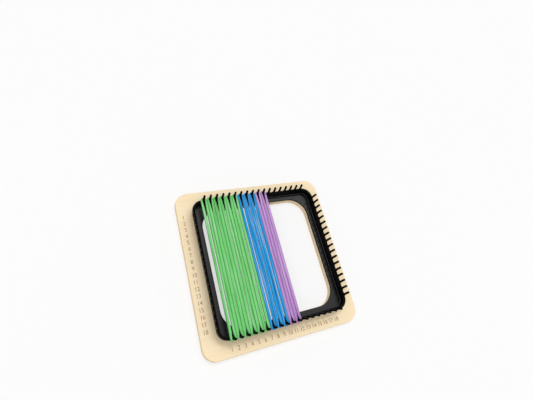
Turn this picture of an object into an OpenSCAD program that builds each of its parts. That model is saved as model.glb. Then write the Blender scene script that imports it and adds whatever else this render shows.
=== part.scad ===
// Potholder loom: a square board carrying a peg frame, strung with elastic loops.
// X runs along the numbered bottom edge, Y up the numbered left edge, Z out of the board.
// The origin is the centre of the board's underside, which rests on the table.

/* [Board] */
// Thickness of the board
board_t = 8; // [5:0.5:15]
// Radius of the board's outer corners
board_corner_r = 19; // [5:1:40]
// Board showing outside the peg frame, on each side
board_margin = 21.4; // [10:0.1:50]
// Board showing inside the peg frame, on each side
board_ledge = 0.5; // [0.2:0.1:3]

/* [Peg frame] */
// Pegs along each side
peg_count = 18; // [12:1:24]
// Distance between neighbouring pegs, centre to centre
peg_pitch = 9.525; // [8:0.025:14]
// Distance from the last peg of a row to the frame's outer edge
corner_room = 16.4; // [15:0.1:30]
// Radius of the frame's outer corners, at the board
frame_corner_r = 14; // [8:0.5:16]
// Width of the frame's rail, from its inner edge to its outer edge
rail_w = 10.4; // [8:0.1:16]
// Radius of the corners of the frame's opening
opening_corner_r = 28; // [15:1:50]
// Thickness of the flat inner flange
flange_t = 3.25; // [2:0.25:5]
// Width of the thick foot under the wall
foot_w = 4; // [4:0.25:6]
// Height of the thick foot under the wall
foot_h = 6; // [5.5:0.25:9]
// Height of the wall that carries the pegs
wall_h = 13.5; // [10:0.5:20]
// Thickness of the wall at its top
wall_t = 3.7; // [3:0.1:4.2]
// How far the wall's top stands out past its bottom
wall_flare = 2.4; // [0:0.1:3]

/* [Pegs] */
// Diameter of a peg
peg_d = 3.4; // [2:0.1:3.8]
// Height of a peg above the wall
peg_h = 12.5; // [8:0.5:20]
// Outward lean of a peg, in degrees
peg_lean = 13.5; // [0:0.5:18]

/* [Loops] */
// Gap between a loop and what it passes, and between neighbouring loops
loop_gap = 0.3; // [0.2:0.05:0.6]
// Height of a loop's strand
strand_h = 3.8; // [3.4:0.1:6]

/* [Screws] */
// Diameter of a screw's thread
screw_d = 2.5; // [2:0.1:2.8]
// Diameter of a screw's head
head_d = 5.2; // [4:0.1:7]
// Height of a screw's countersunk head
head_h = 1.6; // [1.2:0.1:2.5]
// Depth of a screw's head below the board's underside
head_recess = 0.5; // [0.2:0.1:1]
// Length of thread that a screw has in the frame
screw_grip = 4.2; // [3:0.1:4.4]
// Radial gap between a screw and its hole in the board
screw_gap = 0.2; // [0.1:0.05:0.4]
// Radial gap between a screw's thread and its hole in the frame
thread_gap = 0.02; // [0.01:0.01:0.05]
// Pegs between the middle of a side and each of its two screws
screw_steps = 5; // [1:1:5]

/* [Hidden] */
$fn = 64;

// Half-widths, measured from the centre of the loom
row_half = (peg_count - 1) * peg_pitch / 2;
frame_half = row_half + corner_room;
inner_half = frame_half - rail_w;
board_half = frame_half + board_margin;
hole_half = inner_half - board_ledge;
corner_c = frame_half - frame_corner_r;

// Pegs: the middle of the wall's top carries them, and they lean outward from there
peg_r = peg_d / 2;
peg_root = frame_half + wall_flare - wall_t / 2;
tip_rise = peg_h - peg_r;
tip_half = peg_root + tip_rise * tan(peg_lean);
tip_run = tip_rise / cos(peg_lean);

// Loops: each goes round one peg of the top row and the peg facing it
eye_r = peg_r + loop_gap;
strand_w = (peg_pitch - loop_gap) / 2 - eye_r;
strand_z = board_t + wall_h + loop_gap + strand_h / 2;
strand_facets = 8;

// Screws: each comes up through the board into the middle of the frame's foot
screw_half = frame_half - foot_w / 2;
screw_along = screw_steps * peg_pitch;
pilot_spare = 0.6;

// Reach of a cut past the face that it opens
cut = 1;

module rounded_square(half, r) {
    square([2 * half, 2 * (half - r)], center = true);
    square([2 * (half - r), 2 * half], center = true);
    for (x = [-1, 1], y = [-1, 1])
        translate([x * (half - r), y * (half - r)])
            circle(r);
}

// Puts its children on all four sides, made for the side at +Y
module on_four_sides() {
    for (turn = [0:90:270])
        rotate([0, 0, turn])
            children();
}

module at_screws() {
    on_four_sides()
        for (side = [-1, 1])
            translate([side * screw_along, screw_half, 0])
                children();
}

// The board, with its opening and the countersunk screw holes
module base_board() {
    color("#ecd2a2")
        difference() {
            linear_extrude(board_t)
                difference() {
                    rounded_square(board_half, board_corner_r);
                    rounded_square(hole_half, opening_corner_r - board_ledge);
                }
            at_screws() {
                translate([0, 0, -cut])
                    cylinder(h = board_t + 2 * cut, d = screw_d + 2 * screw_gap);
                translate([0, 0, -cut])
                    cylinder(h = head_recess + cut, d = head_d + 2 * screw_gap);
                translate([0, 0, head_recess])
                    cylinder(h = head_h, d1 = head_d + 2 * screw_gap, d2 = screw_d + 2 * screw_gap);
            }
        }
}

// Section of the foot and wall, x measured outward from the corners' centres
module wall_section() {
    top_outer = frame_corner_r + wall_flare;
    foot_inner = frame_corner_r - foot_w;
    // The step where the wall rises from the foot, in line with the slope of the outer face
    wall_inner = top_outer - wall_t - wall_flare * (wall_h - foot_h) / wall_h;
    polygon([
        [foot_inner, 0],
        [frame_corner_r, 0],
        [top_outer, wall_h],
        [top_outer - wall_t, wall_h],
        [wall_inner, foot_h],
        [foot_inner, foot_h]
    ]);
}

// The frame: a wall round the opening, on a flat flange
module peg_frame() {
    color("#1b1b1d")
        translate([0, 0, board_t])
            difference() {
                union() {
                    linear_extrude(flange_t)
                        difference() {
                            rounded_square(frame_half - foot_w / 2, frame_corner_r - foot_w / 2);
                            rounded_square(inner_half, opening_corner_r);
                        }
                    on_four_sides() {
                        translate([corner_c, corner_c, 0])
                            rotate([90, 0, 0])
                                linear_extrude(2 * corner_c)
                                    wall_section();
                        translate([corner_c, corner_c, 0])
                            rotate_extrude(angle = 90)
                                wall_section();
                    }
                }
                at_screws()
                    translate([0, 0, -cut])
                        cylinder(h = screw_grip + pilot_spare + cut, d = screw_d + 2 * thread_gap);
            }
}

// One peg, standing on the wall of the side at +Y, cut flat where it meets the wall
module peg() {
    below = 2 * peg_d;
    translate([0, peg_root, board_t + wall_h])
        difference() {
            rotate([-peg_lean, 0, 0]) {
                translate([0, 0, -peg_d])
                    cylinder(h = tip_run + peg_d, r = peg_r);
                translate([0, 0, tip_run])
                    sphere(peg_r);
            }
            translate([0, 0, -below / 2])
                cube(below, center = true);
        }
}

// A row of pegs on the side that faces the given angle, 0 being +Y
module peg_row(turn) {
    color("#222225")
        rotate([0, 0, turn])
            for (i = [0:peg_count - 1])
                translate([i * peg_pitch - row_half, 0, 0])
                    peg();
}

// The eight screws that hold the frame down, from the board's underside
module frame_screws() {
    shank_l = board_t - head_recess - head_h + screw_grip;
    color("silver")
        at_screws()
            translate([0, 0, head_recess]) {
                cylinder(h = head_h, d1 = head_d, d2 = screw_d);
                translate([0, 0, head_h])
                    cylinder(h = shank_l, d = screw_d);
            }
}

// Cross-section of a strand: a flat-sided oval, taller than it is wide
module strand_section() {
    r = strand_w / 2;
    shift = strand_h / 2 - r;
    step = 180 / strand_facets;
    polygon([for (a = [0:step:360 - step / 2])
        [r * cos(a), r * sin(a) + (a <= 180 ? shift : -shift)]]);
}

// A loop round peg number place, counted from the left, in the top and bottom rows
module strung_loop(place, tint) {
    strand_c = eye_r + strand_w / 2;
    color(tint)
        translate([(place - 1) * peg_pitch - row_half, 0, strand_z]) {
            for (side = [-1, 1])
                translate([side * strand_c, tip_half, 0])
                    rotate([90, 0, 0])
                        linear_extrude(2 * tip_half)
                            strand_section();
            for (turn = [0, 180])
                rotate([0, 0, turn])
                    translate([0, tip_half, 0])
                        rotate_extrude(angle = 180)
                            translate([strand_c, 0])
                                strand_section();
        }
}

green = "#6fc064";
blue = "#1c7fc4";
purple = "#b58cc6";

base_board();
peg_frame();
peg_row(0);  // top_pegs
peg_row(180);  // bottom_pegs
peg_row(90);  // left_pegs
peg_row(270);  // right_pegs
frame_screws();
strung_loop(1, green);  // green_loop_1
strung_loop(2, green);  // green_loop_2
strung_loop(3, green);  // green_loop_3
strung_loop(4, green);  // green_loop_4
strung_loop(5, green);  // green_loop_5
strung_loop(6, green);  // green_loop_6
strung_loop(7, blue);  // blue_loop_1
strung_loop(8, blue);  // blue_loop_2
strung_loop(9, blue);  // blue_loop_3
strung_loop(10, purple);  // purple_loop_1
strung_loop(11, purple);  // purple_loop_2
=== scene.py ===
import math
import random

import bpy
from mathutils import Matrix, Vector, noise


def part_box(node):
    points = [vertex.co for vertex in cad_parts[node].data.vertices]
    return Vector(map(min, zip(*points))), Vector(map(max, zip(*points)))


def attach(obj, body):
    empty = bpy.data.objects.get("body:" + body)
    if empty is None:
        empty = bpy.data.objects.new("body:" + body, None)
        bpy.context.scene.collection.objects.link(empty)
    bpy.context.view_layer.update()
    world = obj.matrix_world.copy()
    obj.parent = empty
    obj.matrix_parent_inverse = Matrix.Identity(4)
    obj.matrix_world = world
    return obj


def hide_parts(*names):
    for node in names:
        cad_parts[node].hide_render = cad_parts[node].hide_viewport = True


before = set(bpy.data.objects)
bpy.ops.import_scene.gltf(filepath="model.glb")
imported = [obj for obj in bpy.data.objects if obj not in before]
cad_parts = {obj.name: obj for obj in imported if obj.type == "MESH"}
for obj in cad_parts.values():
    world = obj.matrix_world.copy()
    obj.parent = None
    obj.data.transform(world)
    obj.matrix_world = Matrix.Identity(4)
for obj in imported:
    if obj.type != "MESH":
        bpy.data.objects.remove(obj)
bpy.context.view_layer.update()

bl_info = {
    "name": "Potholder loom",
    "version": (1, 0, 0),
    "blender": (4, 5, 0),
    "location": "View3D > Sidebar > Loom",
    "description": "Dresses the potholder loom: its board, peg frame, pegs, screws and strung loops",
    "category": "Object",
}

BODY = "loom"
MM = 0.001
WHITE = (1, 1, 1)

# Where the frame's nodes are, in metres
BOARD_LOW, BOARD_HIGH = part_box("base_board")
FRAME_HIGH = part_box("peg_frame")[1]
ROW_LOW, ROW_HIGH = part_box("top_pegs")
LOOP_LOW, LOOP_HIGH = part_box("green_loop_1")
BOARD_TOP = BOARD_HIGH[2]
BOARD_HALF = BOARD_HIGH[0]
WALL_TOP = FRAME_HIGH[2]
WALL_TOP_HALF = FRAME_HIGH[0]
PEG_TOP = ROW_HIGH[2]
STRAND_H = LOOP_HIGH[2] - LOOP_LOW[2]

PEG_COUNT = 18
# The loom's sides, and how far each is turned from the one at +Y, in degrees
SIDES = {"top": 0, "left": 90, "bottom": 180, "right": 270}
# The loops from left to right: each one's colour and node
LOOPS = [(tint, f"{tint}_loop_{i + 1}")
         for tint, count in (("green", 6), ("blue", 3), ("purple", 2)) for i in range(count)]
# Gap between the two strands of each loop, half way between the pegs, in millimetres
GAPS = (1.3, 0.1, 0.1, 0.6, 0.1, 0.8, 1.5, 0.6, 0.9, 0.1, 0.1)
# Gap that a loop's solid leaves beside its pegs, and between itself and the next loop's solid
LOOP_CLEAR = 0.3 * MM

# How far a cutter reaches past the faces that it opens
THROUGH = 5 * MM
# Points closer than this are one point
MERGE = 0.002 * MM
# The board's materials, in the order of its slots
VENEER, PLY_EDGE, ETCHING = 0, 1, 2


def length(name, text, value):
    """A length property whose default is a real size in metres."""
    return bpy.props.FloatProperty(name=name, description=text, default=value, unit="LENGTH", precision=5)


def colour(name, text, value):
    """A colour property, red, green and blue in linear light."""
    return bpy.props.FloatVectorProperty(name=name, description=text, default=value, size=3,
                                         subtype="COLOR", min=0, max=1)


class LoomSizes(bpy.types.PropertyGroup):
    """Sizes that a maker of looms would change"""
    corner_r: length("Board corner", "Radius of the board's outer corners", 19 * MM)
    margin: length("Board margin", "Board showing outside the frame", 21.4 * MM)
    ledge: length("Board ledge", "Board showing inside the frame", 0.5 * MM)
    edge_round: length("Edge rounding", "Radius of the board's sanded edges", 0.5 * MM)
    number_h: length("Number height", "Height of the etched numbers", 5.9 * MM)
    number_row: length("Bottom numbers", "Distance of the bottom numbers from the centre", 110.1 * MM)
    number_column: length("Left numbers", "Distance of the left numbers from the centre", 110.7 * MM)
    number_depth: length("Number depth", "Depth to which the numbers are etched", 0.15 * MM)
    frame_corner_r: length("Frame corner", "Radius of the frame's outer corners at the board", 14 * MM)
    opening_corner_r: length("Opening corner", "Radius of the corners of the frame's opening", 28 * MM)
    rail_w: length("Rail width", "Width of the frame's rail", 10.4 * MM)
    flange_t: length("Flange thickness", "Thickness of the flat inner flange", 3.25 * MM)
    foot_w: length("Foot width", "Width of the thick foot under the wall", 4 * MM)
    foot_h: length("Foot height", "Height of the thick foot under the wall", 6 * MM)
    wall_t: length("Wall thickness", "Thickness of the wall at its top", 3.7 * MM)
    moulding_round: length("Moulding rounding", "Radius of the moulded edges", 0.45 * MM)
    peg_d: length("Peg diameter", "Diameter of a peg", 3.4 * MM)
    peg_lean: bpy.props.FloatProperty(name="Peg lean", description="Outward lean of the pegs",
                                      default=math.radians(13.5), subtype="ANGLE", unit="ROTATION")
    root_flare: length("Peg root", "How far a peg's root spreads along the wall on each side", 3 * MM)
    root_h: length("Peg root height", "Height over which a peg's root narrows", 4.2 * MM)
    loop_side_gap: length("Loop gap", "Gap between neighbouring loops", 0.08 * MM)
    ease_top: length("Top ease", "Length over which a strand swells below its top peg", 32 * MM)
    ease_bottom: length("Bottom ease", "Length over which a strand swells above its bottom peg", 12 * MM)
    end_thin: length("Loop end", "How much thinner a loop is where it is pulled round its peg", 1.2 * MM)
    end_snug: length("Loop end reach", "How far a loop's end is drawn in against its leaning peg", 1.9 * MM)
    screw_d: length("Screw diameter", "Diameter of a screw's thread", 2.5 * MM)
    screw_grip: length("Screw grip", "Length of a screw in the frame", 4.2 * MM)
    head_d: length("Screw head", "Diameter of a screw's countersunk head", 5.2 * MM)
    head_h: length("Screw head height", "Height of a screw's countersunk head", 1.6 * MM)
    head_recess: length("Head recess", "Depth of a screw's head below the board's underside", 0.5 * MM)
    screw_gap: length("Screw gap", "Gap round a screw in the board", 0.2 * MM)


class LoomColours(bpy.types.PropertyGroup):
    """Colours that a maker of looms would change"""
    veneer: colour("Veneer", "Pale face veneer of the board", (1.0, 0.835, 0.565))
    veneer_dark: colour("Veneer grain", "Darker grain of the board", (0.93, 0.70, 0.43))
    ply_dark: colour("Cross ply", "Cross plies at the board's edges", (0.62, 0.43, 0.23))
    etched: colour("Etching", "Scorched wood of the numbers", (0.27, 0.11, 0.03))
    plastic: colour("Plastic", "Black plastic of the frame and pegs", (0.0014, 0.0014, 0.0016))
    green: colour("Green", "Green cotton", (0.185, 0.70, 0.19))
    blue: colour("Blue", "Blue cotton", (0.003, 0.34, 0.80))
    purple: colour("Purple", "Purple cotton", (0.56, 0.295, 0.69))
    steel: colour("Steel", "Zinc-plated screws", (0.55, 0.56, 0.58))
    floor: colour("Floor", "Floor under the loom", (0.93, 0.93, 0.93))


def sizes():
    return bpy.context.scene.loom_sizes


def colours():
    return bpy.context.scene.loom_colours


def frame_half():
    """Half-width of the frame where it stands on the board."""
    return BOARD_HALF - sizes().margin


def inner_half():
    """Half-width of the frame's opening."""
    return frame_half() - sizes().rail_w


def peg_places():
    """Places of the pegs along a row, in metres."""
    first = ROW_LOW[0] + sizes().peg_d / 2
    pitch = -2 * first / (PEG_COUNT - 1)
    return [first + i * pitch for i in range(PEG_COUNT)]


def turned(x, y, angle):
    """A place in the board's plane, turned about the loom's centre."""
    return x * math.cos(angle) - y * math.sin(angle), x * math.sin(angle) + y * math.cos(angle), 0


# Modelling helpers

def start_clean():
    """Leaves edit mode and deselects everything."""
    if bpy.context.object and bpy.context.object.mode != "OBJECT":
        bpy.ops.object.mode_set(mode="OBJECT")
    bpy.ops.object.select_all(action="DESELECT")


def select_only(*objects):
    """Selects these objects alone and makes the first one active."""
    start_clean()
    for o in objects:
        o.select_set(True)
    bpy.context.view_layer.objects.active = objects[0]


def settle(o):
    """Puts an object's place, turn and scale into its mesh."""
    select_only(o)
    bpy.ops.object.transform_apply(location=True, rotation=True, scale=True)


def apply_modifier(o, kind, **values):
    """Adds one modifier with its values and applies it."""
    select_only(o)
    m = o.modifiers.new(kind.title(), kind)
    for key, value in values.items():
        setattr(m, key, value)
    bpy.ops.object.modifier_apply(modifier=m.name)


def joined(objects, name):
    """Joins objects into one, named, with its place in its mesh."""
    select_only(*objects)
    bpy.ops.object.join()
    o = bpy.context.object
    o.name = name
    settle(o)
    return o


def copied(o, place=(0, 0, 0), turn=0.0):
    """A copy of an object with its own mesh, moved and turned about Z."""
    select_only(o)
    bpy.ops.object.duplicate()
    c = bpy.context.object
    c.location = place
    c.rotation_euler = (0, 0, turn)
    settle(c)
    return c


def smooth(o, degrees=40):
    """Shades an object smooth, apart from edges that turn by more than some degrees."""
    select_only(o)
    bpy.ops.object.shade_smooth_by_angle(angle=math.radians(degrees))


def shade_rounded(o):
    """Shades rounded edges smooth and keeps the broad faces beside them level."""
    smooth(o)
    apply_modifier(o, "WEIGHTED_NORMAL", keep_sharp=True, weight=100)


def round_edges(o, radius, degrees):
    """Rounds the edges that turn by more than some degrees."""
    apply_modifier(o, "BEVEL", width=radius, segments=3, limit_method="ANGLE",
                   angle_limit=math.radians(degrees))


def select_edges(o, wanted):
    """Enters edit mode with only the wanted edges selected: wanted(a, b) sees an edge's two ends."""
    select_only(o)
    bpy.ops.object.mode_set(mode="EDIT")
    bpy.ops.mesh.select_mode(type="EDGE")
    bpy.ops.mesh.select_all(action="DESELECT")
    bpy.ops.object.mode_set(mode="OBJECT")
    for e in o.data.edges:
        e.select = wanted(*(o.data.vertices[i].co for i in e.vertices))
    bpy.ops.object.mode_set(mode="EDIT")


def select_faces(o, wanted):
    """Enters edit mode with only the wanted faces selected."""
    select_only(o)
    bpy.ops.object.mode_set(mode="EDIT")
    bpy.ops.mesh.select_mode(type="FACE")
    bpy.ops.mesh.select_all(action="DESELECT")
    bpy.ops.object.mode_set(mode="OBJECT")
    for p in o.data.polygons:
        p.select = wanted(p)
    bpy.ops.object.mode_set(mode="EDIT")


def outward(o):
    """Merges doubled points and makes every face point outwards."""
    select_only(o)
    bpy.ops.object.mode_set(mode="EDIT")
    bpy.ops.mesh.select_all(action="SELECT")
    bpy.ops.mesh.remove_doubles(threshold=MERGE)
    bpy.ops.mesh.normals_make_consistent(inside=False)
    bpy.ops.object.mode_set(mode="OBJECT")


def close_slits(o):
    """Closes slits without width that a cut leaves where its corners lie in line."""
    select_only(o)
    bpy.ops.object.mode_set(mode="EDIT")
    bpy.ops.mesh.select_mode(type="EDGE")
    bpy.ops.mesh.select_all(action="DESELECT")
    bpy.ops.mesh.select_non_manifold()
    bpy.ops.mesh.edge_face_add()
    bpy.ops.object.mode_set(mode="OBJECT")


def rounded_slab(name, half, radius, low, high, segments=16):
    """A square slab with round vertical corners."""
    start_clean()
    bpy.ops.mesh.primitive_cube_add(size=1, location=(0, 0, (low + high) / 2),
                                    scale=(2 * half, 2 * half, high - low))
    o = bpy.context.object
    o.name = name
    settle(o)
    select_edges(o, lambda a, b: abs(a.z - b.z) > (high - low) / 2)
    bpy.ops.mesh.bevel(offset=radius, segments=segments, affect="EDGES", clamp_overlap=False)
    bpy.ops.object.mode_set(mode="OBJECT")
    return o


def turned_shape(name, steps, facets=32):
    """A round shape on the Z axis. steps are its (height, radius), from the bottom up."""
    start_clean()
    height, radius = steps[0]
    bpy.ops.mesh.primitive_circle_add(vertices=facets, radius=radius, fill_type="NGON",
                                      location=(0, 0, height))
    o = bpy.context.object
    o.name = name
    settle(o)
    bpy.ops.object.mode_set(mode="EDIT")
    bpy.ops.mesh.select_all(action="SELECT")
    for z, r in steps[1:]:
        bpy.ops.mesh.extrude_region_move(TRANSFORM_OT_translate={"value": (0, 0, z - height)})
        bpy.ops.transform.resize(value=(r / radius, r / radius, 1), center_override=(0, 0, z))
        height, radius = z, r
    bpy.ops.object.mode_set(mode="OBJECT")
    outward(o)
    return o


def cut_by(o, cutter, operation="DIFFERENCE"):
    """Cuts the cutter's shape out of an object, or fuses it on with UNION."""
    apply_modifier(o, "BOOLEAN", object=cutter, operation=operation, solver="EXACT")
    bpy.data.objects.remove(cutter, do_unlink=True)


def set_material(o, *materials):
    """Gives an object these materials and no others."""
    o.data.materials.clear()
    for m in materials:
        o.data.materials.append(m)


def dressed(o, slot, *nodes, body=BODY):
    """Says where a finished piece rides and what it replaces; its material slot is not used."""
    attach(o, body)
    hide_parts(*nodes)


# Material helpers

def new_material(name, rough=0.5, specular=0.5):
    """A material, its node tree and its main shader."""
    m = bpy.data.materials.new(name)
    m.use_nodes = True
    tree = m.node_tree
    shader = tree.nodes["Principled BSDF"]
    shader.inputs["Roughness"].default_value = rough
    shader.inputs["Specular IOR Level"].default_value = specular
    return m, tree, shader


def node(tree, kind, **values):
    """Adds a shader node: values name its properties or, with spaces as underscores, its inputs."""
    n = tree.nodes.new(kind)
    for key, value in values.items():
        if hasattr(n, key):
            setattr(n, key, value)
        else:
            n.inputs[key.replace("_", " ")].default_value = value
    return n


def coordinates(tree, scale, kind="Object", shift=(0, 0, 0)):
    """The object's own space or its UV map, stretched: a larger scale makes a pattern finer."""
    where = node(tree, "ShaderNodeTexCoord")
    stretch = node(tree, "ShaderNodeMapping", Location=shift, Scale=scale)
    tree.links.new(where.outputs[kind], stretch.inputs["Vector"])
    return stretch.outputs["Vector"]


def axes(tree, kind="Object"):
    """X, Y and Z of the object's own space or of its UV map, each as an output."""
    where = node(tree, "ShaderNodeTexCoord")
    split = node(tree, "ShaderNodeSeparateXYZ")
    tree.links.new(where.outputs[kind], split.inputs["Vector"])
    return split.outputs["X"], split.outputs["Y"], split.outputs["Z"]


def grain(tree, vector, detail=4.0, rough=0.55):
    """Soft noise from 0 to 1, as fine as its coordinates are stretched."""
    n = node(tree, "ShaderNodeTexNoise", Scale=1.0, Detail=detail, Roughness=rough)
    tree.links.new(vector, n.inputs["Vector"])
    return n.outputs["Fac"]


def ramp(tree, fac, *stops):
    """Colours along a value: each stop is (place, (r, g, b)), in order of place."""
    n = node(tree, "ShaderNodeValToRGB")
    band = n.color_ramp
    while len(band.elements) < len(stops):
        band.elements.new(0.5)
    for element, (place, rgb) in zip(band.elements, stops):
        element.position = place
        element.color = (*rgb, 1)
    tree.links.new(fac, n.inputs["Fac"])
    return n.outputs["Color"]


def multiplied(tree, a, b):
    """One colour output times another."""
    n = node(tree, "ShaderNodeMix", data_type="RGBA", blend_type="MULTIPLY")
    share, first, second, result = n.inputs[0], n.inputs[6], n.inputs[7], n.outputs[2]
    share.default_value = 1.0
    tree.links.new(a, first)
    tree.links.new(b, second)
    return result


def maths(tree, what, *values):
    """A sum or function of values, each a number or an output."""
    n = node(tree, "ShaderNodeMath", operation=what)
    for socket, value in zip(n.inputs, values):
        if isinstance(value, bpy.types.NodeSocket):
            tree.links.new(value, socket)
        else:
            socket.default_value = value
    return n.outputs[0]


def bumped(tree, shader, height, strength, depth):
    """Raises a surface by its height, about 0 to 1, times a depth in metres."""
    n = node(tree, "ShaderNodeBump", Strength=strength, Distance=depth)
    tree.links.new(height, n.inputs["Height"])
    tree.links.new(n.outputs["Normal"], shader.inputs["Normal"])


def mix_rgb(a, b, share):
    """A colour part of the way from one to another."""
    return tuple(x + (y - x) * share for x, y in zip(a, b))


# Materials

def make_veneer():
    """Pale face veneer, its fine grain running along X."""
    m, tree, shader = new_material("birch_veneer", rough=0.55, specular=0.35)
    pale = tuple(colours().veneer)
    shaded = mix_rgb(pale, tuple(colours().veneer_dark), 0.35)
    pore = (0.955, 0.93, 0.90)
    broad = grain(tree, coordinates(tree, (6, 60, 60)), detail=3)
    fine = grain(tree, coordinates(tree, (40, 900, 900)), detail=5)
    wide = ramp(tree, broad, (0.35, pale), (0.75, shaded))
    thin = ramp(tree, fine, (0.35, WHITE), (0.8, pore))
    tree.links.new(multiplied(tree, wide, thin), shader.inputs["Base Color"])
    bumped(tree, shader, fine, strength=0.25, depth=0.05 * MM)
    return m


def make_ply_edge():
    """Sawn edge of the plywood: bands of long grain and end grain in turn, each a ply thick."""
    m, tree, shader = new_material("plywood_edge", rough=0.7, specular=0.25)
    pale, dark = tuple(colours().veneer), tuple(colours().ply_dark)
    long_grain, end_grain = mix_rgb(pale, dark, 0.12), mix_rgb(pale, dark, 0.55)
    fleck = (0.82, 0.76, 0.68)
    plies = 5
    # Two plies make one wave, and the underside is at a wave's crest
    radians_per_metre = plies / 2 / BOARD_TOP * 2 * math.pi
    height = axes(tree)[2]
    wave = maths(tree, "COSINE", maths(tree, "MULTIPLY", height, radians_per_metre))
    band = maths(tree, "MULTIPLY_ADD", wave, 0.5, 0.5)
    stripes = ramp(tree, band, (0.38, end_grain), (0.6, long_grain))
    fine = grain(tree, coordinates(tree, (700, 700, 2500)))
    flecks = ramp(tree, fine, (0.3, WHITE), (0.8, fleck))
    tree.links.new(multiplied(tree, stripes, flecks), shader.inputs["Base Color"])
    bumped(tree, shader, fine, strength=0.4, depth=0.08 * MM)
    return m


def make_etching():
    """Scorched wood of the etched numbers."""
    m, tree, shader = new_material("scorched_wood", rough=0.85, specular=0.15)
    burnt = tuple(colours().etched)
    singed = mix_rgb(burnt, tuple(colours().veneer_dark), 0.35)
    fine = grain(tree, coordinates(tree, (500, 1500, 1500)))
    tree.links.new(ramp(tree, fine, (0.3, burnt), (0.8, singed)), shader.inputs["Base Color"])
    bumped(tree, shader, fine, strength=0.3, depth=0.05 * MM)
    return m


def make_plastic(name, specular):
    """Black moulded plastic with a satin skin."""
    m, tree, shader = new_material(name, rough=0.36, specular=specular)
    base = tuple(colours().plastic)
    worn = mix_rgb(base, WHITE, 0.002)
    satin, dull = (0.31,) * 3, (0.40,) * 3
    cloud = grain(tree, coordinates(tree, (90, 90, 90)), detail=3)
    skin = grain(tree, coordinates(tree, (2600, 2600, 2600)), detail=2)
    tree.links.new(ramp(tree, cloud, (0.3, base), (0.8, worn)), shader.inputs["Base Color"])
    tree.links.new(ramp(tree, cloud, (0.3, satin), (0.8, dull)), shader.inputs["Roughness"])
    bumped(tree, shader, skin, strength=0.12, depth=0.03 * MM)
    return m


def black_plastic():
    """The plastic that the frame's walls and its pegs share."""
    name = "moulded_plastic"
    return bpy.data.materials.get(name) or make_plastic(name, specular=0.03)


def make_steel():
    """Zinc-plated steel of the screws."""
    m, tree, shader = new_material("zinc_plate", rough=0.35)
    shader.inputs["Metallic"].default_value = 1.0
    base = tuple(colours().steel)
    yellowed = mix_rgb(base, (0.8, 0.78, 0.7), 0.5)
    cloud = grain(tree, coordinates(tree, (900, 900, 900)))
    tree.links.new(ramp(tree, cloud, (0.3, base), (0.8, yellowed)), shader.inputs["Base Color"])
    bumped(tree, shader, cloud, strength=0.1, depth=0.02 * MM)
    return m


def make_cotton(name, base, seed, girth):
    """Knitted cotton: wales along the loop, rows of stitches across, and streaks of lint, with painted shade
    in the knit's furrows and down the strand's sides and a painted highlight on the stitches' crests.
    The UV map runs in millimetres along the loop and around the strand."""
    m, tree, shader = new_material(name, rough=0.88, specular=0.2)
    shader.inputs["Sheen Weight"].default_value = 0.22
    shader.inputs["Sheen Roughness"].default_value = 0.5
    # Streaks of darker and linty yarn, in other places on each loop
    dark = tuple(0.6 * c for c in base)
    linty = mix_rgb(base, WHITE, 0.3)
    streak_place = coordinates(tree, (0.013, 0.6, 1), "UV", shift=(seed * 3.7, seed * 1.3, 0))
    streaks = grain(tree, streak_place, rough=0.6)
    tone = ramp(tree, streaks, (0.34, dark), (0.46, base), (0.53, base), (0.66, linty))
    # Each stitch is a vee across its wale, which bends the row that it stands in
    along, around, _ = axes(tree, "UV")
    wale_w, stitch_l = 0.9, 1.5
    slant, stitch_h, wale_h = 2.2, 0.3, 0.5
    vee = maths(tree, "ABSOLUTE", maths(tree, "SINE", maths(tree, "MULTIPLY", around, math.pi / wale_w)))
    course = maths(tree, "MULTIPLY", along, 2 * math.pi / stitch_l)
    stitch = maths(tree, "SINE", maths(tree, "ADD", course, maths(tree, "MULTIPLY", vee, slant)))
    knit = maths(tree, "MULTIPLY_ADD", stitch, stitch_h, stitch_h)
    height = maths(tree, "ADD", knit, maths(tree, "MULTIPLY", vee, wale_h))
    # Painted shade and highlight: the knit's furrows are painted darker and its crests lighter than the yarn
    furrow_shade_paint, crest_highlight_paint = (0.62,) * 3, (1.08,) * 3
    painted_knit_shade = ramp(tree, height, (0.1, furrow_shade_paint), (0.75, crest_highlight_paint))
    # Painted shade: the strand's sides, down between its neighbours, are painted darker than its top, as
    # shade falls there
    side = maths(tree, "COSINE", maths(tree, "MULTIPLY", around, 4 * math.pi / girth))
    depth = ramp(tree, side, (0.05, WHITE), (0.9, (0.4,) * 3))
    # deep is the yarn's tone with the painted shade on the strand's sides
    deep = multiplied(tree, tone, depth)
    tree.links.new(multiplied(tree, deep, painted_knit_shade), shader.inputs["Base Color"])
    bumped(tree, shader, height, strength=0.7, depth=0.18 * MM)
    return m


# The screws' places

def screw_places():
    """Where the screws stand, in the middle of the frame's foot: place along the side at +Y, distance
    out from the centre, and the side's turn."""
    places = peg_places()
    # From a row's last peg to the nearer screw, in steps from peg to peg
    steps_in = 3.5
    along = places[-1] - steps_in * (places[1] - places[0])
    out = frame_half() - sizes().foot_w / 2
    return [(side * along, out, math.radians(turn)) for turn in SIDES.values() for side in (-1, 1)]


def at_screws(o, name):
    """Copies one shape to all the screws' places and joins the copies."""
    copies = [copied(o, turned(along, out, angle), angle) for along, out, angle in screw_places()]
    bpy.data.objects.remove(o, do_unlink=True)
    return joined(copies, name)


# The board

def etched_number(value, x, y):
    """The shape that one number cuts into the board, as a mesh."""
    reach = 0.5 * MM
    # Height of a digit in its type size of 1, and how much narrower it is drawn
    digit_h, narrowing = 0.72, 0.88
    start_clean()
    bpy.ops.object.text_add(location=(x, y, BOARD_TOP - sizes().number_depth + reach))
    t = bpy.context.object
    t.data.body = str(value)
    t.data.size = sizes().number_h / digit_h
    t.data.align_x = "CENTER"
    t.data.align_y = "CENTER"
    t.data.extrude = reach
    t.data.resolution_u = 3
    t.scale = (narrowing, 1, 1)
    bpy.ops.object.convert(target="MESH")
    return bpy.context.object


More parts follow.
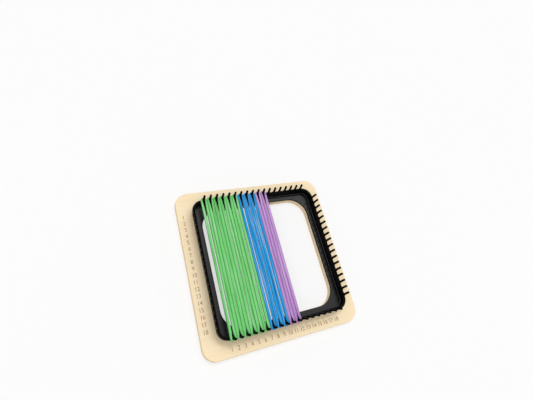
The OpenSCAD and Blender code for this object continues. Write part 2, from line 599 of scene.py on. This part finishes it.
def number_cutter():
    """Numbers 1 to 18 along the bottom and down the left side."""
    s = sizes()
    places = peg_places()
    marks = [etched_number(i + 1, x, -s.number_row) for i, x in enumerate(places)]
    marks += [etched_number(i + 1, -s.number_column, -y) for i, y in enumerate(places)]
    numbers = joined(marks, "numbers")
    outward(numbers)
    bpy.ops.object.mode_set(mode="EDIT")
    bpy.ops.mesh.dissolve_degenerate(threshold=MERGE)
    bpy.ops.mesh.dissolve_limited(angle_limit=math.radians(1))
    bpy.ops.object.mode_set(mode="OBJECT")
    return numbers


def screw_holes():
    """The countersunk holes that the screws pass through, as one cutter."""
    s = sizes()
    wide, narrow = s.head_d / 2 + s.screw_gap, s.screw_d / 2 + s.screw_gap
    seat = BOARD_LOW[2] + s.head_recess
    hole = turned_shape("sink", [(BOARD_LOW[2] - THROUGH, wide), (seat, wide),
                                 (seat + s.head_h, narrow), (BOARD_TOP + THROUGH, narrow)])
    return at_screws(hole, "sinks")


def board_material(face):
    """Which of the board's materials a face has."""
    below, level = BOARD_TOP - face.center.z, abs(face.normal.z)
    spare, upright, steep, flat = 0.01 * MM, 0.1, 0.7, 0.99
    # The rounded edge is neither flat nor upright, unlike the floors and walls of the numbers
    rounded = upright < level < flat
    if spare < below < sizes().number_depth + 2 * spare and not rounded:
        return ETCHING
    return PLY_EDGE if level < steep else VENEER


def make_board():
    """The plywood board: a rounded opening, sanded edges, countersunk screw holes and etched numbers."""
    s = sizes()
    board = rounded_slab("board", BOARD_HALF, s.corner_r, BOARD_LOW[2], BOARD_TOP)
    opening = rounded_slab("hole", inner_half() - s.ledge, s.opening_corner_r - s.ledge,
                           BOARD_LOW[2] - THROUGH, BOARD_TOP + THROUGH)
    cut_by(board, opening)
    round_edges(board, s.edge_round, 50)
    outward(board)
    cut_by(board, screw_holes())
    cut_by(board, number_cutter())
    outward(board)
    close_slits(board)
    set_material(board, make_veneer(), make_ply_edge(), make_etching())
    for p in board.data.polygons:
        p.material_index = board_material(p)
    shade_rounded(board)
    dressed(board, "board_wood", "base_board")


# The frame and its pegs

def wall_points():
    """The section of the foot and wall: x measured outward from the corners' centres, and height."""
    s = sizes()
    wall_h = WALL_TOP - BOARD_TOP
    flare = WALL_TOP_HALF - frame_half()
    base = s.frame_corner_r
    top = base + flare
    # The step where the wall rises from the foot, in line with the slope of the outer face
    step = top - s.wall_t - flare * (wall_h - s.foot_h) / wall_h
    return [(base - s.foot_w, BOARD_TOP), (base, BOARD_TOP), (top, WALL_TOP), (top - s.wall_t, WALL_TOP),
            (step, BOARD_TOP + s.foot_h), (base - s.foot_w, BOARD_TOP + s.foot_h)]


def wall_ring(name, points, c, steps=14):
    """Sweeps a closed section round a square with round corners, whose centres stand c from its middle."""
    start_clean()
    bpy.ops.mesh.primitive_circle_add(vertices=len(points), radius=1 * MM, fill_type="NOTHING")
    o = bpy.context.object
    o.name = name
    for v, (x, z) in zip(o.data.vertices, points):
        v.co = (c + x, c, z)
    bpy.ops.object.mode_set(mode="EDIT")
    bpy.ops.mesh.select_all(action="SELECT")
    # Each corner's centre, and the straight run after it
    corners = ((c, c, (-2 * c, 0, 0)), (-c, c, (0, -2 * c, 0)),
               (-c, -c, (2 * c, 0, 0)), (c, -c, (0, 2 * c, 0)))
    for x, y, run in corners:
        bpy.ops.mesh.spin(steps=steps, angle=math.radians(90), center=(x, y, 0), axis=(0, 0, -1))
        bpy.ops.mesh.extrude_region_move(TRANSFORM_OT_translate={"value": run})
    bpy.ops.object.mode_set(mode="OBJECT")
    outward(o)
    return o


def make_flange():
    """The flat flange round the frame's opening, reaching into the wall's foot."""
    s = sizes()
    into_foot = s.foot_w / 2
    top = BOARD_TOP + s.flange_t
    flange = rounded_slab("flange", frame_half() - into_foot, s.frame_corner_r - into_foot, BOARD_TOP, top)
    opening = rounded_slab("hole", inner_half(), s.opening_corner_r, BOARD_TOP - THROUGH, top + THROUGH,
                           segments=24)
    cut_by(flange, opening)
    round_edges(flange, s.moulding_round, 50)
    return flange


def pilot_holes():
    """The holes in the frame's foot that the screws bite into, as one cutter."""
    s = sizes()
    thread_gap, spare = 0.02 * MM, 0.6 * MM
    r = s.screw_d / 2 + thread_gap
    pilot = turned_shape("pilot", [(BOARD_TOP - THROUGH, r), (BOARD_TOP + s.screw_grip + spare, r)])
    return at_screws(pilot, "pilots")


def make_frame():
    """The moulded frame: foot and flared wall in one sweep, fused onto a flat flange."""
    s = sizes()
    moulding = wall_ring("moulded_frame", wall_points(), frame_half() - s.frame_corner_r)
    round_edges(moulding, s.moulding_round, 30)
    cut_by(moulding, make_flange(), "UNION")
    cut_by(moulding, pilot_holes())
    outward(moulding)
    shade_rounded(moulding)
    set_material(moulding, black_plastic(), make_plastic("polished_plastic", specular=0.26))
    # The faces that look up from inside the wall are polished
    foot_top, upward = BOARD_TOP + s.foot_h + 0.1 * MM, 0.2
    for p in moulding.data.polygons:
        p.material_index = int(p.center.z < foot_top and p.normal.z > upward)
    dressed(moulding, "black_plastic", "peg_frame")


def peg_stations(r, rise, sunk):
    """Sections up a peg, before it leans: height above the wall, and half-widths along and across the row."""
    s = sizes()
    stations = [(sunk, r + s.root_flare, r)]
    # The root narrows along a quarter of an ellipse
    root_steps = 6
    for i in range(root_steps + 1):
        t = i / root_steps
        stations.append((t * s.root_h, r + s.root_flare * (1 - math.sqrt(1 - (1 - t) ** 2)), r))
    # The stem, with one section part way up
    part_way = 0.6
    stations += [(part_way * rise, r, r), (rise, r, r)]
    # The round tip
    tip_steps = 6
    for i in range(1, tip_steps):
        a = i / tip_steps * math.pi / 2
        stations.append((rise + r * math.sin(a), r * math.cos(a), r * math.cos(a)))
    return stations


def one_peg():
    """A peg at the middle of the side at +Y: a root that spreads along the wall, a stem and a round tip."""
    s = sizes()
    r = s.peg_d / 2
    root_y = WALL_TOP_HALF - s.wall_t / 2
    rise = (PEG_TOP - WALL_TOP - r) / math.cos(s.peg_lean)
    sunk = -0.5 * MM
    centre = Vector((0, root_y, WALL_TOP + sunk))
    start_clean()
    bpy.ops.mesh.primitive_circle_add(vertices=20, radius=r, fill_type="NGON", location=centre)
    peg = bpy.context.object
    settle(peg)
    bpy.ops.object.mode_set(mode="EDIT")
    bpy.ops.mesh.select_all(action="SELECT")
    wide, deep, height = r, r, sunk
    for z, new_wide, new_deep in peg_stations(r, rise, sunk):
        if z > height:
            bpy.ops.mesh.extrude_region_move(TRANSFORM_OT_translate={"value": (0, 0, z - height)})
            centre.z += z - height
        bpy.ops.transform.resize(value=(new_wide / wide, new_deep / deep, 1), center_override=centre)
        wide, deep, height = new_wide, new_deep, z
    bpy.ops.mesh.poke()
    bpy.ops.object.mode_set(mode="OBJECT")
    for v in peg.data.vertices:
        up = v.co.z - WALL_TOP
        if up > 0:
            v.co.y += up * math.tan(s.peg_lean)
            v.co.z = WALL_TOP + up * math.cos(s.peg_lean)
    outward(peg)
    smooth(peg, 60)
    return peg


def make_pegs():
    """Four rows of pegs, copied from one."""
    peg = one_peg()
    for side, turn in SIDES.items():
        angle = math.radians(turn)
        row = joined([copied(peg, turned(x, 0, angle), angle) for x in peg_places()], f"{side}_peg_row")
        set_material(row, black_plastic())
        dressed(row, "black_plastic", f"{side}_pegs")
    bpy.data.objects.remove(peg, do_unlink=True)


# The screws

def cross_cutter(low, high):
    """The two wings of the tapered cross that a screwdriver fits, wide at low."""
    half_w, half_t, taper = 1.3 * MM, 0.28 * MM, 0.35
    start_clean()
    bpy.ops.mesh.primitive_cube_add(size=1, location=(0, 0, (low + high) / 2),
                                    scale=(2 * half_w, 2 * half_t, high - low))
    wing = bpy.context.object
    settle(wing)
    select_faces(wing, lambda p: p.normal.z > 0.9)
    bpy.ops.transform.resize(value=(taper, taper, 1), center_override=(0, 0, high))
    bpy.ops.object.mode_set(mode="OBJECT")
    return wing, copied(wing, turn=math.radians(90))


def screw_steps(low):
    """Outline of a screw from its head's face at low up to its point, as (height, radius)."""
    s = sizes()
    # The head: a chamfered rim, then the cone that its hole fits
    head_r, r = s.head_d / 2, s.screw_d / 2
    chamfer, chamfer_h, rim_h = 0.15 * MM, 0.1 * MM, 0.25 * MM
    neck = low + s.head_h
    steps = [(low, head_r - chamfer), (low + chamfer_h, head_r), (low + rim_h, head_r), (neck, r)]
    # The thread: one ridge a pitch, as far as the point
    core, pitch, plain = r - 0.3 * MM, 1.1 * MM, 0.4 * MM
    tip, point_l, point_r = BOARD_TOP + s.screw_grip, 1 * MM, 0.2 * MM
    z = neck + plain
    while z + pitch < tip - point_l:
        steps += [(z, core), (z + 0.35 * pitch, r), (z + 0.5 * pitch, r), (z + 0.85 * pitch, core)]
        z += pitch
    return steps + [(z, core), (tip, point_r)]


def make_screws():
    """Eight countersunk screws up through the board into the frame's foot."""
    low = BOARD_LOW[2] + sizes().head_recess
    cross_spare, cross_depth = 0.2 * MM, 1.1 * MM
    screw = turned_shape("screw", screw_steps(low), facets=28)
    for wing in cross_cutter(low - cross_spare, low + cross_depth):
        cut_by(screw, wing)
    outward(screw)
    smooth(screw, 35)
    screws = at_screws(screw, "zinc_screws")
    set_material(screws, make_steel())
    dressed(screws, "screw_steel", "frame_screws")


# The loops

class Ring:
    """A loop's course, from its solid: two straight strands joined by half-circles round its pegs."""

    def __init__(self, name):
        low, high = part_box(name)
        self.x = (low[0] + high[0]) / 2
        self.z = (low[2] + high[2]) / 2
        self.half_w = (high[0] - low[0]) / 2
        self.strand_w = self.half_w - (sizes().peg_d / 2 + LOOP_CLEAR)
        # From the middle of the loop to a half-circle's centre, and that half-circle's radius
        self.reach = high[1] - self.half_w
        self.radius = self.half_w - self.strand_w / 2
        self.length = 4 * self.reach + 2 * math.pi * self.radius
        # Distance round a strand, near enough
        self.girth = math.pi * (self.strand_w + STRAND_H) / 2

    def course(self, v):
        """For a point of the drawn-out torus: its distance along the middle line, the way out of the loop
        there, and the middle line's nearest point."""
        if abs(v.y) <= self.reach:
            side = 1 if v.x > 0 else -1
            run = v.y if side > 0 else math.pi * self.radius + 2 * self.reach - v.y
            return run, Vector((side, 0, 0)), Vector((side * self.radius, v.y, 0))
        end = 1 if v.y > 0 else -1
        centre = Vector((0, end * self.reach, 0))
        flat = Vector((v.x, v.y - centre.y, 0))
        turn = self.radius * math.atan2(end * flat.y, end * flat.x)
        run = self.reach + turn if end > 0 else 3 * self.reach + math.pi * self.radius + turn
        out = flat.normalized()
        return run, out, centre + out * self.radius


def drawn_out_torus(name, ring, cuts=110):
    """A torus drawn out into a long loop, its straight faces then cut into short ones."""
    start_clean()
    bpy.ops.mesh.primitive_torus_add(major_segments=36, minor_segments=20, major_radius=ring.radius,
                                     minor_radius=ring.strand_w / 2, location=(0, 0, 0), generate_uvs=True)
    o = bpy.context.object
    o.name = name
    # The two sections on the X axis stay, and become the middles of the straight strands
    still = 1e-6
    for v in o.data.vertices:
        if abs(v.co.y) > still:
            v.co.y += math.copysign(ring.reach, v.co.y)
    select_edges(o, lambda a, b: abs(a.y - b.y) > ring.reach / 2)
    bpy.ops.mesh.subdivide(number_cuts=cuts, smoothness=0)
    bpy.ops.object.mode_set(mode="OBJECT")
    return o


def fuller(value):
    """Swells a sine or cosine, so that the oval it draws has fuller shoulders."""
    return math.copysign(abs(value) ** 0.9, value)


def drift(shift, run, waves, lane):
    """A value from -1 to 1 that wanders along a loop, some waves in a metre. Each lane wanders by itself."""
    return noise.noise(shift + Vector((run * waves, lane, 0)))


def shape_loop(o, ring, gap, seed):
    """Moves every vertex from the round strand to a soft, slightly uneven knitted band, and writes its UV
    map. Between the pegs the strand swells inwards until the loop's two strands are a gap apart."""
    s = sizes()
    spare = (LOOP_CLEAR - s.loop_side_gap) / 2
    outer = ring.half_w + spare
    eye = ring.half_w - ring.strand_w - spare
    # The share of its solid's height that the cotton fills
    filled = 0.97
    half_up = STRAND_H / 2 * filled
    swell_power, gap_wander, least_half_gap = 1.7, 0.3, 0.03 * MM
    ridges, ridge_h, ridge_level, ridge_wander, uneven_by = 4, 0.05, 0.93, 0.35, 0.03
    rng = random.Random(seed)
    far = 50
    shift = Vector((rng.uniform(0, far), rng.uniform(0, far), rng.uniform(0, far)))
    uv_of = {}
    for v in o.data.vertices:
        run, out, middle = ring.course(v.co)
        off = v.co - middle
        a = math.atan2(off.z, off.dot(out))
        swell = s.ease_top if v.co.y > 0 else s.ease_bottom
        straight = max(0.0, min(1.0, (ring.reach - abs(v.co.y)) / swell))
        ease = 1 - (1 - straight) ** swell_power
        half_gap = max(least_half_gap, gap / 2 + gap_wander * gap * drift(shift, run, waves=14, lane=3))
        inner = eye + (half_gap - eye) * ease
        pulled = s.end_thin * abs(out.y)
        half_across = (outer - inner - pulled) / 2
        across = (outer + inner - pulled) / 2 - ring.radius + half_across * fuller(math.cos(a))
        # A flattened tube of jersey: soft ridges run along it, and its thickness wanders a little
        twist = ridge_wander * drift(shift, run, waves=22, lane=0)
        ridge = ridge_level + ridge_h * math.cos(ridges * (a - math.pi / 2 + twist))
        uneven = 1 + uneven_by * drift(shift, run, waves=60, lane=7)
        up = half_up * fuller(math.sin(a)) * min(1.0, ridge * uneven)
        place = middle + out * across
        snug = s.end_snug * max(-1.0, min(1.0, v.co.y / ring.reach))
        v.co = Vector((place.x + ring.x, place.y - snug, ring.z + up))
        uv_of[v.index] = (run / MM, (a + math.pi) / (2 * math.pi) * ring.girth / MM)
    write_uv(o, uv_of, ring.length / MM, ring.girth / MM)


def unwrapped(value, first, whole):
    """Moves a value that wraps round by a whole turn, where that brings it next to the first."""
    if first - value > whole / 2:
        return value + whole
    if value - first > whole / 2:
        return value - whole
    return value


def write_uv(o, uv_of, run, girth):
    """Writes the UV map, keeping each face's corners together where the map wraps round."""
    layer = o.data.uv_layers.active
    for p in o.data.polygons:
        corners = [uv_of[i] for i in p.vertices]
        for i, (u, w) in zip(p.loop_indices, corners):
            layer.data[i].uv = (unwrapped(u, corners[0][0], run), unwrapped(w, corners[0][1], girth))


def make_loop(name, material, slot, gap, seed):
    """One strung loop, on a body of its own."""
    ring = Ring(name)
    loop = drawn_out_torus(name + "_knit", ring)
    shape_loop(loop, ring, gap, seed)
    outward(loop)
    smooth(loop, 80)
    set_material(loop, material)
    dressed(loop, slot, name, body=name)


# The stage

def make_floor():
    """A pale floor that keeps the loom's shadow."""
    start_clean()
    bpy.ops.mesh.primitive_plane_add(size=8, location=(0, 0, 0))
    floor = bpy.context.object
    floor.name = "floor"
    m, tree, shader = new_material("pale_floor", rough=0.9, specular=0.1)
    base = tuple(colours().floor)
    soft = grain(tree, coordinates(tree, (3, 3, 3)))
    tone = ramp(tree, soft, (0.3, base), (0.8, mix_rgb(base, WHITE, 0.1)))
    tree.links.new(tone, shader.inputs["Base Color"])
    # To the camera the floor is part white paper and part floor, which keeps a soft shadow of the loom
    paper_share = 0.62
    path = node(tree, "ShaderNodeLightPath")
    white = node(tree, "ShaderNodeEmission", Strength=1.0)
    mix = node(tree, "ShaderNodeMixShader")
    tree.links.new(maths(tree, "MULTIPLY", path.outputs["Is Camera Ray"], paper_share), mix.inputs[0])
    tree.links.new(shader.outputs[0], mix.inputs[1])
    tree.links.new(white.outputs[0], mix.inputs[2])
    tree.links.new(mix.outputs[0], tree.nodes["Material Output"].inputs["Surface"])
    set_material(floor, m)


def make_world():
    """White to the camera and to reflections, softer as a light."""
    world = bpy.data.worlds.new("studio")
    bpy.context.scene.world = world
    world.use_nodes = True
    tree = world.node_tree
    tree.nodes.clear()
    path = node(tree, "ShaderNodeLightPath")
    seen = maths(tree, "MAXIMUM", path.outputs["Is Camera Ray"],
                 maths(tree, "MAXIMUM", path.outputs["Is Glossy Ray"], path.outputs["Is Transmission Ray"]))
    fill = node(tree, "ShaderNodeBackground", Strength=0.58, Color=(*WHITE, 1))
    show = node(tree, "ShaderNodeBackground", Strength=1.0, Color=(*WHITE, 1))
    mix = node(tree, "ShaderNodeMixShader")
    out = node(tree, "ShaderNodeOutputWorld")
    tree.links.new(seen, mix.inputs[0])
    tree.links.new(fill.outputs[0], mix.inputs[1])
    tree.links.new(show.outputs[0], mix.inputs[2])
    tree.links.new(mix.outputs[0], out.inputs["Surface"])


def make_light(name, towards, energy, degrees):
    """A distant light from one direction, some degrees wide."""
    towards = Vector(towards)
    start_clean()
    bpy.ops.object.light_add(type="SUN", location=towards)
    light = bpy.context.object
    light.name = name
    light.rotation_mode = "QUATERNION"
    light.rotation_quaternion = towards.to_track_quat("Z", "Y")
    light.data.energy = energy
    light.data.angle = math.radians(degrees)


def make_lights():
    """A key light from above and a little behind the loom, a faint one from its right that gives the
    flange its sheen, and a wide one from its front left that softens the walls' shade."""
    make_light("key_light", (0.1, 0.32, 0.94), energy=0.6, degrees=20)
    make_light("sheen_light", (0.46, 0.26, 0.85), energy=0.28, degrees=12)
    make_light("front_light", (-0.45, -0.40, 0.80), energy=0.68, degrees=50)


def make_camera():
    """A camera with the photograph's viewing angle and framing."""
    start_clean()
    bpy.ops.object.camera_add(location=(-0.2625, -0.1553, 0.6225))
    camera = bpy.context.object
    camera.name = "photo_camera"
    camera.rotation_euler = [math.radians(a) for a in (33.543, -23.536, -18.895)]
    camera.data.sensor_width = 36
    camera.data.lens = 29.866
    camera.data.shift_x = -0.0816
    camera.data.shift_y = -0.0938
    camera.data.clip_start = 0.01
    camera.data.clip_end = 50
    camera.data.dof.use_dof = False
    bpy.context.scene.camera = camera


# Operators

class LOOM_OT_board(bpy.types.Operator):
    """Makes the plywood board, with its etched numbers and screw holes"""
    bl_idname = "loom.board"
    bl_label = "Board and numbers"

    def execute(self, context):
        make_board()
        return {"FINISHED"}


class LOOM_OT_frame(bpy.types.Operator):
    """Makes the moulded frame"""
    bl_idname = "loom.frame"
    bl_label = "Moulded frame"

    def execute(self, context):
        make_frame()
        return {"FINISHED"}


class LOOM_OT_pegs(bpy.types.Operator):
    """Makes the four rows of pegs"""
    bl_idname = "loom.pegs"
    bl_label = "Pegs"

    def execute(self, context):
        make_pegs()
        return {"FINISHED"}


class LOOM_OT_screws(bpy.types.Operator):
    """Makes the eight countersunk screws"""
    bl_idname = "loom.screws"
    bl_label = "Screws"

    def execute(self, context):
        make_screws()
        return {"FINISHED"}


class LOOM_OT_loops(bpy.types.Operator):
    """Makes the strung loops, green, blue and purple"""
    bl_idname = "loom.loops"
    bl_label = "Strung loops"

    def execute(self, context):
        girth = Ring("green_loop_1").girth / MM
        for seed, ((tint, name), gap) in enumerate(zip(LOOPS, GAPS), start=1):
            cotton = make_cotton(f"{name}_cotton", tuple(getattr(colours(), tint)), seed, girth)
            make_loop(name, cotton, f"{tint}_cotton", gap * MM, seed)
        return {"FINISHED"}


class LOOM_OT_stage(bpy.types.Operator):
    """Makes the floor, the lights and the camera"""
    bl_idname = "loom.stage"
    bl_label = "Stage"

    def execute(self, context):
        make_floor()
        make_world()
        make_lights()
        make_camera()
        context.scene.view_settings.view_transform = "Standard"
        return {"FINISHED"}


class LOOM_PT_panel(bpy.types.Panel):
    """Lists the loom's pieces, sizes and colours"""
    bl_label = "Potholder loom"
    bl_idname = "LOOM_PT_panel"
    bl_space_type = "VIEW_3D"
    bl_region_type = "UI"
    bl_category = "Loom"

    def draw(self, context):
        for operator in OPERATORS:
            self.layout.operator(operator.bl_idname)
        for group in (context.scene.loom_sizes, context.scene.loom_colours):
            box = self.layout.box()
            for key in group.bl_rna.properties.keys():
                if key not in ("rna_type", "name"):
                    box.prop(group, key)


OPERATORS = (LOOM_OT_board, LOOM_OT_frame, LOOM_OT_pegs, LOOM_OT_screws, LOOM_OT_loops, LOOM_OT_stage)
CLASSES = (LoomSizes, LoomColours, *OPERATORS, LOOM_PT_panel)


def register():
    for c in CLASSES:
        bpy.utils.register_class(c)
    bpy.types.Scene.loom_sizes = bpy.props.PointerProperty(type=LoomSizes)
    bpy.types.Scene.loom_colours = bpy.props.PointerProperty(type=LoomColours)


def unregister():
    del bpy.types.Scene.loom_colours
    del bpy.types.Scene.loom_sizes
    for c in reversed(CLASSES):
        bpy.utils.unregister_class(c)


def main():
    """Makes the loom piece by piece, then the stage."""
    register()
    bpy.ops.loom.board()
    bpy.ops.loom.frame()
    bpy.ops.loom.pegs()
    bpy.ops.loom.screws()
    bpy.ops.loom.loops()
    bpy.ops.loom.stage()


if __name__ == "__main__":
    main()
